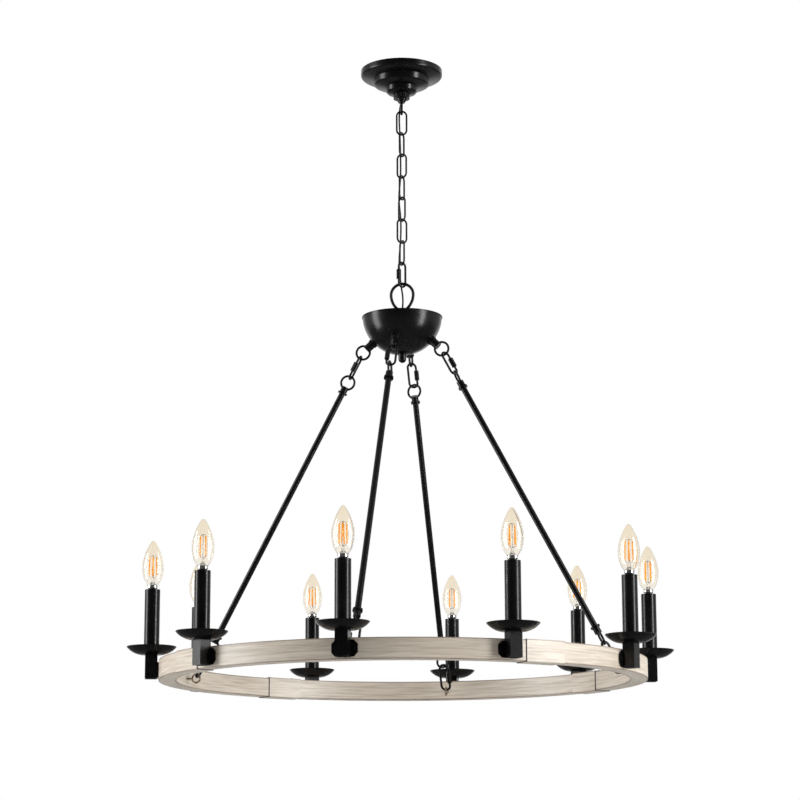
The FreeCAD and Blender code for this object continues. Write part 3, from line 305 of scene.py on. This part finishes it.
def whitewash(name, shadow_line_width, half):
    """The brushed pale coat, with a painted shadow line of the given width at the sleeves' loose
    ends.
    """
    finish, tree, shader = new_finish(name, Specular_IOR_Level=0.85)
    place = place_on(tree)
    parts = add_node(tree, "ShaderNodeSeparateXYZ", {0: place}).outputs
    flat = add_node(tree, "ShaderNodeCombineXYZ", {"X": parts["X"], "Y": parts["Y"]}).outputs[0]
    out = add_node(tree, "ShaderNodeVectorMath", {0: flat}, operation="LENGTH").outputs["Value"]

    def brushed(along, across, detail):
        sockets = {"Vector": place, "Scale": (along, along, across)}
        stretched = add_node(tree, "ShaderNodeMapping", sockets).outputs[0]
        return cloud(tree, stretched, 1.0, detail, reckon(tree, "MULTIPLY", out, across))

    def from_walls(value, middle, half_way):
        """How far inside the nearer of two opposite walls."""
        off = reckon(tree, "ABSOLUTE", reckon(tree, "SUBTRACT", value, middle))
        return reckon(tree, "SUBTRACT", half_way, off)

    patches = brushed(9.0, 60.0, 3.0)
    bands = brushed(14.0, 330.0, 4.0)
    hairs = brushed(26.0, 1500.0, 2.0)

    ground = blend_colours(tree, vary(tree, patches, 0.0, 1.0), LIMED, CREAM)
    lines = reckon(tree, "ADD", spread(tree, bands, 0.42, 0.66, 0.0, BAND_STRENGTH),
                   spread(tree, hairs, 0.45, 0.65, 0.0, HAIR_STRENGTH))
    grained = blend_colours(tree, lines, ground, GRAIN)

    to_edge = reckon(tree, "ADD", from_walls(out, ring_middle[0], half[0]),
                     from_walls(parts["Z"], ring_middle[1], half[1]))
    ragged = reckon(tree, "ADD", to_edge, reckon(tree, "MULTIPLY", bands, RAGGED_BY))
    worn = spread(tree, ragged, RUBBED_TO, WHOLE_FROM, 0.8, 0.0)
    coloured = blend_colours(tree, worn, grained, RUBBED)

    angle = reckon(tree, "ARCTAN2", parts["X"], reckon(tree, "MULTIPLY", parts["Y"], -1.0))
    full = reckon(tree, "MODULO", reckon(tree, "ADD", angle, math.tau), math.tau)
    # Paint a dark shadow line at each loose sleeve end, standing in for the shade in the gap there.
    painted_gap_shade = 0.0
    for turn in loose_ends:
        sockets = {0: full, 1: turn, 2: shadow_line_width / ring_outer}
        near = add_node(tree, "ShaderNodeMath", sockets, operation="COMPARE").outputs[0]
        painted_gap_shade = reckon(tree, "MAXIMUM", near, painted_gap_shade)
    coloured = blend_colours(tree, painted_gap_shade, coloured, PAINTED_GAP_SHADOW)
    tree.links.new(coloured, shader.inputs["Base Color"])
    tree.links.new(vary(tree, hairs, 0.36, 0.48), shader.inputs["Roughness"])
    roughen(tree, shader, reckon(tree, "ADD", hairs, bands), BRUSH_DEPTH, 0.6)
    return finish


sleeve_radii = radii("joint_sleeves")
sleeve_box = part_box("joint_sleeves")
sleeve_half = ((sleeve_radii[1] - sleeve_radii[0]) / 2, (sleeve_box[1].z - sleeve_box[0].z) / 2)
# How wide the painted shadow line is on the tube and on the sleeves.
TUBE_SHADOW_LINE = 1.3 * MILLIMETRE
SLEEVE_SHADOW_LINE = 0.4 * MILLIMETRE
tube_coat = whitewash("whitewashed_tube", TUBE_SHADOW_LINE, ring_half)
paint(tube_coat, "pale_ring", *numbered("ring_segment", RING_QUARTERS))
sleeve_coat = whitewash("whitewashed_sleeve", SLEEVE_SHADOW_LINE, sleeve_half)
paint(sleeve_coat, "pale_ring", "joint_sleeves")

# %% [markdown]
# The four small eyes in the wheel's inner wall were painted with it, and then rubbed by the links
# that hang in them. Their coat is thin, so brown shows in patches.

# %% The rubbed coat of the wheel's eyes
EYE_COAT = (0.42, 0.33, 0.23, 1)
EYE_BROWN = (0.10, 0.06, 0.035, 1)
rubbed, tree, shader = new_finish("rubbed_eye_coat", Specular_IOR_Level=0.4)
place = place_on(tree)
bare = spread(tree, cloud(tree, place, 300.0, 5.0), 0.38, 0.6, 0.0, 1.0)
tree.links.new(blend_colours(tree, bare, EYE_COAT, EYE_BROWN), shader.inputs["Base Color"])
tree.links.new(spread(tree, bare, 0.0, 1.0, 0.5, 0.35), shader.inputs["Roughness"])
roughen(tree, shader, bare, 0.0001)
paint(rubbed, "pale_ring", "ring_eyes")

# %% [markdown]
# Behind the canopy and inside the bowl sit plain parts that only show when the lamp is taken apart:
# zinc-plated steel, a brass earth screw, a moulded terminal block. They get honest finishes too,
# because a model is looked at from every side.

# %% Zinc, brass and moulded plastics
def plated_metal(name, dull, bright, roughness):
    """Bright metal with faint rolling marks and a patchy tone."""
    finish, tree, shader = new_finish(name, Metallic=1.0)
    place = place_on(tree)
    tone = cloud(tree, place, 130.0, 4.0)
    rolled = {"Vector": place, "Scale": (60.0, 900.0, 900.0)}
    marks = add_node(tree, "ShaderNodeMapping", rolled).outputs[0]
    tree.links.new(blend_colours(tree, tone, dull, bright), shader.inputs["Base Color"])
    lines = cloud(tree, marks, 1.0, 3.0)
    uneven = vary(tree, lines, roughness, roughness + 0.15)
    tree.links.new(uneven, shader.inputs["Roughness"])
    roughen(tree, shader, lines, 0.00003)
    return finish


def moulded(name, low, high, roughness, grain):
    """Moulded plastic with a fine grain from its mould."""
    finish, tree, shader = new_finish(name, Specular_IOR_Level=0.45)
    place = place_on(tree)
    tone = blend_colours(tree, cloud(tree, place, 60.0), low, high)
    tree.links.new(tone, shader.inputs["Base Color"])
    fine = cloud(tree, place, 1400.0, 2.0)
    uneven = vary(tree, fine, roughness, roughness + 0.12)
    tree.links.new(uneven, shader.inputs["Roughness"])
    roughen(tree, shader, fine, grain)
    return finish


zinc = plated_metal("zinc_plate", (0.42, 0.42, 0.40, 1), (0.62, 0.62, 0.58, 1), 0.32)
brass = plated_metal("earth_brass", (0.52, 0.36, 0.13, 1), (0.72, 0.54, 0.24, 1), 0.25)
paint(zinc, "zinc_steel", "ceiling_crossbar", "stem_nipple", "stem_locknuts", "hub_nipple",
      "hub_locknuts", "hub_eye_nuts")
paint(brass, "brass", "earth_screw")
paint(moulded("terminal_nylon", (0.72, 0.71, 0.66, 1), (0.8, 0.79, 0.74, 1), 0.4, 0.00002),
      "block_plastic", "terminal_block")
paint(moulded("socket_phenolic", (0.006, 0.006, 0.006, 1), (0.016, 0.015, 0.014, 1), 0.3, 0.00003),
      "socket_plastic", "lamp_sockets")

# %% [markdown]
# Turned pieces, such as the glass of a bulb or its metal cap, are outlines spun about an axis. The
# Screw modifier can do it, but a few lines of mesh code give us control of both walls of the glass.
# A smooth outline through a handful of points needs a spline: this one passes through each point
# with the direction of its neighbours.

# %% Helpers for turned pieces
def through(points, steps):
    """A smooth line through a few (radius, height) points, with so many steps between two."""
    line = []
    for index in range(len(points) - 1):
        before, start = Vector(points[max(index - 1, 0)]), Vector(points[index])
        end, after = Vector(points[index + 1]), Vector(points[min(index + 2, len(points) - 1)])
        for step in range(steps):
            t = step / steps
            line.append(0.5 * (2 * start + (end - before) * t
                               + (2 * before - 5 * start + 4 * end - after) * t ** 2
                               + (3 * start - before - 3 * end + after) * t ** 3))
    line.append(Vector(points[-1]))
    return [(max(point.x, 0.0), point.y) for point in line]


def spin(mesh_name, outline, sides=48):
    """Turn an outline of (radius, height) in metres about the axis into a closed, smooth mesh."""
    mesh = bmesh.new()
    rows = []
    for radius, height in outline:
        if radius < 1e-6:
            rows.append([mesh.verts.new((0, 0, height))] * sides)
        else:
            rows.append([mesh.verts.new((radius * math.cos(math.tau * side / sides),
                                         radius * math.sin(math.tau * side / sides), height))
                         for side in range(sides)])
    for lower, upper in zip(rows, rows[1:]):
        for side in range(sides):
            corners = [lower[side - 1], lower[side], upper[side], upper[side - 1]]
            unique = list(dict.fromkeys(corners))
            if len(unique) > 2:
                mesh.faces.new(unique)
    bmesh.ops.remove_doubles(mesh, verts=mesh.verts, dist=1e-7)
    bmesh.ops.recalc_face_normals(mesh, faces=mesh.faces)
    data = bpy.data.meshes.new(mesh_name)
    mesh.to_mesh(data)
    mesh.free()
    for face in data.polygons:
        face.use_smooth = True
    return data


# %% [markdown]
# A candle bulb has a thin glass with a faint amber tint. Both of its walls matter, because light
# bends at each. We measure the plain solid that holds the bulb's place, so that glass and cap fit
# its socket, and shape the glass from seven points.

# %% Measure the bulb's place
bulb_low, bulb_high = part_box("bulb_1")
GLASS_LENGTH = 0.073
GLASS_WALL = 0.0009
glass_radius = (bulb_high.x - bulb_low.x) / 2
bulb_length = bulb_high.z - bulb_low.z
cap_length = bulb_length - GLASS_LENGTH
print(f"bulb {1000 * bulb_length:.1f} mm tall, glass {2000 * glass_radius:.1f} mm wide")

# %% The glass
GLASS_OUTLINE = [(0.0086, 0.0), (0.0149, 0.011), (glass_radius, 0.030), (0.0144, 0.0485),
                 (0.0089, 0.062), (0.0037, 0.0708), (0.0, GLASS_LENGTH)]
outer_wall = through(GLASS_OUTLINE, 10)
inner_wall = [(max(radius - GLASS_WALL, 0.0), min(height, GLASS_LENGTH - GLASS_WALL))
              for radius, height in outer_wall]
glass_mesh = spin("bulb_glass", outer_wall + inner_wall[::-1] + [outer_wall[0]])
print(len(glass_mesh.vertices), "points of glass")

# %% [markdown]
# For the tint, a shader that lets light through needs almost no colour, because each ray crosses
# several surfaces on its way. The tint is stronger at the tip, where the coat is thicker.

# %% The amber glass finish
amber_glass, tree, shader = new_finish("amber_glass", Transmission_Weight=1.0, IOR=1.45)
place = place_on(tree)
height = add_node(tree, "ShaderNodeSeparateXYZ", {0: place}).outputs["Z"]
tint = blend_colours(tree, spread(tree, height, 0.0, GLASS_LENGTH, 0.0, 1.0),
                     (0.985, 0.96, 0.91, 1), (0.95, 0.885, 0.77, 1))
tree.links.new(tint, shader.inputs["Base Color"])
tree.links.new(vary(tree, cloud(tree, place, 90.0), 0.0, 0.03), shader.inputs["Roughness"])

# %% [markdown]
# Inside the glass stands the mount: a clear glass stem, four glowing strips in a square, and thin
# wires that hold them and bring the current. The strips lean a little, as bent wire always does.
# Each is a slim box with rounded long edges, so we sweep a small round section along a line. The
# same helper makes the wires.

# %% Helper for wires
def tube_along(mesh, points, radius, sides=8, flat=1.0):
    """Sweep a round or flattened section along a line of points, with closed ends."""
    rings = []
    side_way = None
    for index, point in enumerate(points):
        ahead = (points[min(index + 1, len(points) - 1)] - points[max(index - 1, 0)]).normalized()
        if side_way is None:
            side_way = ahead.orthogonal().normalized()
        side_way = (side_way - ahead * side_way.dot(ahead)).normalized()
        other_way = ahead.cross(side_way)
        rings.append([mesh.verts.new(point + radius * (
            math.cos(math.tau * side / sides) * side_way
            + flat * math.sin(math.tau * side / sides) * other_way)) for side in range(sides)])
    for lower, upper in zip(rings, rings[1:]):
        for side in range(sides):
            mesh.faces.new([lower[side - 1], lower[side], upper[side], upper[side - 1]])
    mesh.faces.new(rings[0])
    mesh.faces.new(rings[-1][::-1])


def finish_mesh(mesh, name):
    """Turn the working mesh into one that objects can use."""
    bmesh.ops.recalc_face_normals(mesh, faces=mesh.faces)
    data = bpy.data.meshes.new(name)
    mesh.to_mesh(data)
    mesh.free()
    for face in data.polygons:
        face.use_smooth = True
    return data


# %% The mount, its strips and its wires
STEM_OUTLINE = [(0.0, 0.0004), (0.0058, 0.0004), (0.0036, 0.004), (0.0024, 0.008),
                (0.0021, 0.012), (0.0, 0.0128)]
STRIPS = 4
STRIP_RING = 0.0064          # how far the strips' feet stand from the bulb's axis
STRIP_HEAD_SHARE = 0.86      # of that, at their heads
STRIP_LEAN = 0.0006
STRIP_LOW, STRIP_HIGH = 0.0155, 0.0455
STRIP_RADIUS = 0.00115
STRIP_FLATNESS = 0.7
WIRE_RADIUS = 0.00028
WIRE_ROOT = 0.0115           # height at which the wires leave the stem
stem_mesh = spin("bulb_stem", through(STEM_OUTLINE, 5), 24)

strips, wires = bmesh.new(), bmesh.new()
for corner in range(STRIPS):
    turn = math.tau * corner / STRIPS
    way = Vector((math.cos(turn), math.sin(turn), 0))
    lean = Vector((-math.sin(turn), math.cos(turn), 0)) * STRIP_LEAN
    foot = way * STRIP_RING + Vector((0, 0, STRIP_LOW)) - lean
    head = way * (STRIP_RING * STRIP_HEAD_SHARE) + Vector((0, 0, STRIP_HIGH)) + lean
    line = [foot.lerp(head, step / 6) for step in range(7)]
    tube_along(strips, line, STRIP_RADIUS, 10, STRIP_FLATNESS)
    root = way * 0.0014 + Vector((0, 0, WIRE_ROOT))
    tube_along(wires, [root, way * 0.004 + Vector((0, 0, 0.0125)), foot], WIRE_RADIUS)
    tube_along(wires, [head, way * 0.0035 + Vector((0, 0, STRIP_HIGH + 0.0022)),
                       Vector((0, 0, STRIP_HIGH + 0.0028))], WIRE_RADIUS)
tube_along(wires, [Vector((0, 0, WIRE_ROOT)), Vector((0, 0, STRIP_HIGH + 0.0035))],
           WIRE_RADIUS * 1.4)
strip_mesh = finish_mesh(strips, "bulb_strips")
wire_mesh = finish_mesh(wires, "bulb_wires")

# %% [markdown]
# The strips are coated with yellow-orange phosphor. Unlit, they still look bright in the photo, so
# the coat gets a little light of its own.

# %% Finishes inside the bulb
strip_coat, tree, shader = new_finish("strip_phosphor", Emission_Strength=0.55)
place = place_on(tree)
grains = cloud(tree, place, 900.0, 3.0)
phosphor = blend_colours(tree, grains, (0.90, 0.30, 0.012, 1), (1.0, 0.42, 0.04, 1))
tree.links.new(phosphor, shader.inputs["Base Color"])
tree.links.new(phosphor, shader.inputs["Emission Color"])
tree.links.new(vary(tree, grains, 0.45, 0.65), shader.inputs["Roughness"])

clear_glass, tree, shader = new_finish("clear_stem_glass", Transmission_Weight=1.0, IOR=1.5)
place = place_on(tree)
clear = blend_colours(tree, cloud(tree, place, 200.0), (0.93, 0.94, 0.93, 1),
                      (0.99, 0.99, 0.99, 1))
tree.links.new(clear, shader.inputs["Base Color"])
tree.links.new(vary(tree, cloud(tree, place, 400.0), 0.0, 0.08), shader.inputs["Roughness"])

nickel_wire = plated_metal("nickel_wire", (0.30, 0.27, 0.23, 1), (0.48, 0.45, 0.40, 1), 0.3)
bright_nickel = plated_metal("bright_nickel", (0.70, 0.70, 0.69, 1), (0.86, 0.86, 0.85, 1), 0.08)

# %% [markdown]
# The cap under the glass is a rolled metal shell with a round thread, a smooth collar on top and a
# small contact below. The thread is too fine to need a true helix: rings at the thread's pitch read
# the same, and they keep the mesh closed.

# %% The cap
COLLAR_RADIUS, THREAD_RADIUS, THREAD_DEPTH, THREAD_PITCH = 0.0083, 0.0068, 0.0005, 0.0028
THREAD_LOW, THREAD_TOP = 0.0045, cap_length - 0.006
POINTS_PER_TURN = 8
cap_outline = [(0.0, 0.0), (0.0026, 0.0), (0.0036, 0.0008), (0.0038, 0.0022), (0.0060, 0.0040)]
height = THREAD_LOW
while height < THREAD_TOP:
    swing = math.cos(math.tau * (height - THREAD_LOW) / THREAD_PITCH)
    cap_outline.append((THREAD_RADIUS + THREAD_DEPTH * (swing - 1) / 2, height))
    height += THREAD_PITCH / POINTS_PER_TURN
cap_outline += [(THREAD_RADIUS, THREAD_TOP + 0.0003), (COLLAR_RADIUS - 0.0003, THREAD_TOP + 0.0008),
                (COLLAR_RADIUS, THREAD_TOP + 0.0014), (COLLAR_RADIUS, cap_length - 0.0006),
                (COLLAR_RADIUS - 0.0004, cap_length - 0.0001), (0.0, cap_length - 0.0001)]
cap_mesh = spin("bulb_cap", cap_outline, 40)
print(len(cap_mesh.vertices), "points of cap")

# %% Put ten bulbs in their sockets
BULB_TURN_STEP = math.radians(47)
BULB_PARTS = [("glass", glass_mesh, cap_length, amber_glass),
              ("stem", stem_mesh, cap_length, clear_glass),
              ("strips", strip_mesh, cap_length, strip_coat),
              ("wires", wire_mesh, cap_length, nickel_wire),
              ("cap", cap_mesh, 0.0, bright_nickel)]
for index, name in enumerate(numbered("bulb", BULBS)):
    low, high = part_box(name)
    middle = (low + high) / 2
    for part, mesh, base, finish in BULB_PARTS:
        if not mesh.materials:
            mesh.materials.append(finish)
        piece = bpy.data.objects.new(f"{name}_{part}", mesh)
        scene.collection.objects.link(piece)
        piece.location = (middle.x, middle.y, low.z + base)
        piece.rotation_euler.z = index * BULB_TURN_STEP
        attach(piece, name)
        if part == "glass":
            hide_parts(name)

# %% [markdown]
# The supply cord is woven down through the chain, from the ceiling box into the hub. Its line is a
# smooth spline through the same points as its plain solid. The chain can swing at nine places, so
# one rigid cord would tear out of the links. We cut the tube in the middle of each link; the top
# length moves with the ceiling mount and the bottom one with the hub.

# %% The cord's line
CORD_RADIUS = 0.0015
CORD_ROUTE = [
    (0.4, 20, 1), (0.7, 110, 19), (0.7, 250, 38), (0.5, 200, 55),
    (6.0, 152.5, 74.4),
    (6.0, 134.5, 112.6), (6.0, 121.5, 151.0), (6.0, 120.5, 189.5), (6.0, 198, 227.9),
    (6.0, 268.5, 266.4), (6.0, 261.5, 304.8), (6.0, 180.5, 343.2), (6.4, 118, 381.0),
    (3.8, 75, 403.0), (0.3, 20, 425.0),
    (0.3, 0, 444.0), (14, 0, 466.5), (14, 0, 486.0),
]
curve = bpy.data.curves.new("cord_line", "CURVE")
curve.dimensions = "3D"
line = curve.splines.new("NURBS")
line.points.add(len(CORD_ROUTE) - 1)
for point, (out, turn, drop) in zip(line.points, CORD_ROUTE):
    angle = math.radians(turn)
    point.co = (*(MILLIMETRE * Vector((out * math.cos(angle), out * math.sin(angle), -drop))), 1)
line.order_u = 3
line.use_endpoint_u = True
line.resolution_u = 12
line_object = bpy.data.objects.new("cord_line", curve)
scene.collection.objects.link(line_object)
evaluated_line = line_object.evaluated_get(bpy.context.evaluated_depsgraph_get())
line_mesh = bpy.data.meshes.new_from_object(evaluated_line)
cord_points = [vertex.co.copy() for vertex in line_mesh.vertices]
bpy.data.objects.remove(line_object)
bpy.data.meshes.remove(line_mesh)
cord_length = sum((after - before).length for before, after in zip(cord_points, cord_points[1:]))
print(f"cord {cord_length:.3f} m long, {len(cord_points)} points")

# %% The cord's sheath
sheath, tree, shader = new_finish("cord_sheath", Specular_IOR_Level=0.4)
place = place_on(tree)
along_cord = {"Vector": place, "Scale": (900.0, 900.0, 40.0)}
drawn = add_node(tree, "ShaderNodeMapping", along_cord).outputs[0]
dark = blend_colours(tree, cloud(tree, place, 80.0), (0.006, 0.006, 0.006, 1),
                     (0.014, 0.014, 0.014, 1))
tree.links.new(dark, shader.inputs["Base Color"])
lines = cloud(tree, drawn, 1.0, 2.0)
tree.links.new(vary(tree, lines, 0.38, 0.5), shader.inputs["Roughness"])
roughen(tree, shader, lines, 0.00004)

# %% Cut the cord at the middle of each link
chain_bodies = ["ceiling_mount"] + numbered("link", CHAIN_LINKS) + ["quick_link", "hub"]
swings = {(joint["parent"], joint["child"]): joint for joint in frame["joints"]}
pivots = [swings[pair]["pos_m"][2] for pair in zip(chain_bodies, chain_bodies[1:])]
cuts = [(upper + lower) / 2 for upper, lower in zip(pivots, pivots[1:])]
cuts = [pivots[0] + (pivots[0] - cuts[0])] + cuts + [pivots[-1] - (cuts[-1] - pivots[-1])]


def nearest_point(level):
    """The number of the cord's point that is nearest to a height."""
    return min(range(len(cord_points)), key=lambda index: abs(cord_points[index].z - level))


cut_at = [0] + [nearest_point(level) for level in cuts] + [len(cord_points) - 1]
for index, (first, last) in enumerate(zip(cut_at, cut_at[1:])):
    mesh = bmesh.new()
    tube_along(mesh, cord_points[first:last + 1], CORD_RADIUS, 16)
    data = finish_mesh(mesh, f"cord_length_{index + 1}")
    data.materials.append(sheath)
    piece = bpy.data.objects.new(f"supply_cord_{index + 1}", data)
    scene.collection.objects.link(piece)
    if index == 0:
        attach(piece, chain_bodies[0])
        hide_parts("supply_cord")
    elif index == len(cut_at) - 2:
        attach(piece, chain_bodies[-1])
    else:
        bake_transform(piece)
print(len(cut_at) - 1, "lengths of cord")

# %% [markdown]
# The studio is plain: a pale floor far below, a white wall far behind, and soft light from the
# world. A white studio would need far more light than the lamp, so its paint counts as white for
# the camera and through glass, and stays pale grey for all other light. The floor is dim in
# reflections, as if it ended in the dark, so the undersides of the pans and the bowl stay black.

# %% Floor and backdrop
FLOOR_DROP = 2.3
FLOOR_HALF_WIDTH = 9
FLOOR_IN_REFLECTIONS = 0.16
WALL_IN_REFLECTIONS = 1.0
WALL_AWAY = 6.5
WALL_HALF_WIDTH = 5.0
WALL_HEIGHT = 7.5


def sheet_of(name, corners, finish):
    """One flat sheet of the studio."""
    data = bpy.data.meshes.new(name)
    data.from_pydata(corners, [], [list(range(len(corners)))])
    data.materials.append(finish)
    sheet = bpy.data.objects.new(name, data)
    scene.collection.objects.link(sheet)


def studio_paint(name, in_reflections):
    """Pale paint that counts as white for the camera and through glass."""
    finish, tree, shader = new_finish(name, Specular_IOR_Level=0.1, Roughness=0.9)
    place = place_on(tree)
    tone = blend_colours(tree, cloud(tree, place, 0.7), (0.76, 0.76, 0.76, 1),
                         (0.80, 0.80, 0.80, 1))
    tree.links.new(tone, shader.inputs["Base Color"])
    ray = add_node(tree, "ShaderNodeLightPath").outputs
    plain = shader.outputs[0]
    for seen, strength in (("Is Glossy Ray", in_reflections), ("Is Transmission Ray", 1.0),
                           ("Is Camera Ray", 1.0)):
        glow = add_node(tree, "ShaderNodeEmission", {"Strength": strength}).outputs[0]
        mix = add_node(tree, "ShaderNodeMixShader", {0: ray[seen], 1: plain, 2: glow})
        plain = mix.outputs[0]
    tree.links.new(plain, tree.nodes["Material Output"].inputs["Surface"])
    return finish


pale_floor = studio_paint("pale_floor", FLOOR_IN_REFLECTIONS)
white_wall = studio_paint("white_wall", WALL_IN_REFLECTIONS)
sheet_of("floor", [(x * FLOOR_HALF_WIDTH, y * FLOOR_HALF_WIDTH, -FLOOR_DROP)
                   for x, y in ((-1, -1), (1, -1), (1, 1), (-1, 1))], pale_floor)
across = Vector((math.cos(CAMERA_TURN), math.sin(CAMERA_TURN), 0))
behind = Vector((-math.sin(CAMERA_TURN), math.cos(CAMERA_TURN), 0)) * WALL_AWAY
wall_foot = behind + Vector((0, 0, -FLOOR_DROP))
wall_top = wall_foot + Vector((0, 0, WALL_HEIGHT))
aside = across * WALL_HALF_WIDTH
sheet_of("backdrop", [wall_foot - aside, wall_foot + aside, wall_top + aside, wall_top - aside],
         white_wall)

# %% [markdown]
# Black enamel shows almost nothing but reflections, so the lights draw it. Tall soft boxes at both
# sides give each candle its long highlights, the right one brighter. A faint one from the front
# keeps the wheel readable without showing in the enamel. The sky is bright beyond the lamp and
# dark behind the camera, so the faces towards us stay black, yet the camera sees it white from
# every side.

# %% Lights
WHEEL_LEVEL = -0.85
SIDE_AWAY, SIDE_HEIGHT = 2.6, -0.6
FRONT_AWAY, FRONT_HEIGHT = 4.6, 0.6
SKY_BEYOND = 0.5
SKY_BEHIND_US = 0.06
DARK_FROM = 0.75     # cosine of the angle between a direction and the camera's


def soft_box(name, turn, away, height, size, power):
    """A broad lamp aimed at the wheel. It turns from the camera towards the picture's right."""
    lamp = bpy.data.lights.new(name, "AREA")
    lamp.shape = "RECTANGLE"
    lamp.size, lamp.size_y = size
    lamp.energy = power
    box = bpy.data.objects.new(name, lamp)
    scene.collection.objects.link(box)
    angle = CAMERA_TURN + math.radians(turn)
    box.location = (away * math.sin(angle), -away * math.cos(angle), height)
    target = Vector((0, 0, WHEEL_LEVEL))
    box.rotation_euler = (target - box.location).to_track_quat("-Z", "Y").to_euler()
    box.visible_camera = False
    return box


soft_box("right_soft_box", 62, SIDE_AWAY, SIDE_HEIGHT, (0.6, 2.6), 62)
soft_box("left_soft_box", -84, SIDE_AWAY, SIDE_HEIGHT, (0.9, 2.6), 56)
front_box = soft_box("front_soft_box", 8, FRONT_AWAY, FRONT_HEIGHT, (2.0, 1.2), 14)
front_box.visible_glossy = False

studio = bpy.data.worlds.new("studio")
studio.use_nodes = True
tree = studio.node_tree
towards_camera = (math.sin(CAMERA_TURN), -math.cos(CAMERA_TURN), 0)
way = add_node(tree, "ShaderNodeTexCoord").outputs["Generated"]
facing = add_node(tree, "ShaderNodeVectorMath", {0: way, 1: towards_camera},
                  operation="DOT_PRODUCT").outputs["Value"]
tree.nodes["Background"].inputs["Color"].default_value = (1, 1, 1, 1)
light = spread(tree, facing, 0.0, DARK_FROM, SKY_BEYOND, SKY_BEHIND_US)
seen = add_node(tree, "ShaderNodeLightPath").outputs["Is Camera Ray"]
tree.links.new(reckon(tree, "MAXIMUM", light, seen), tree.nodes["Background"].inputs["Strength"])
scene.world = studio
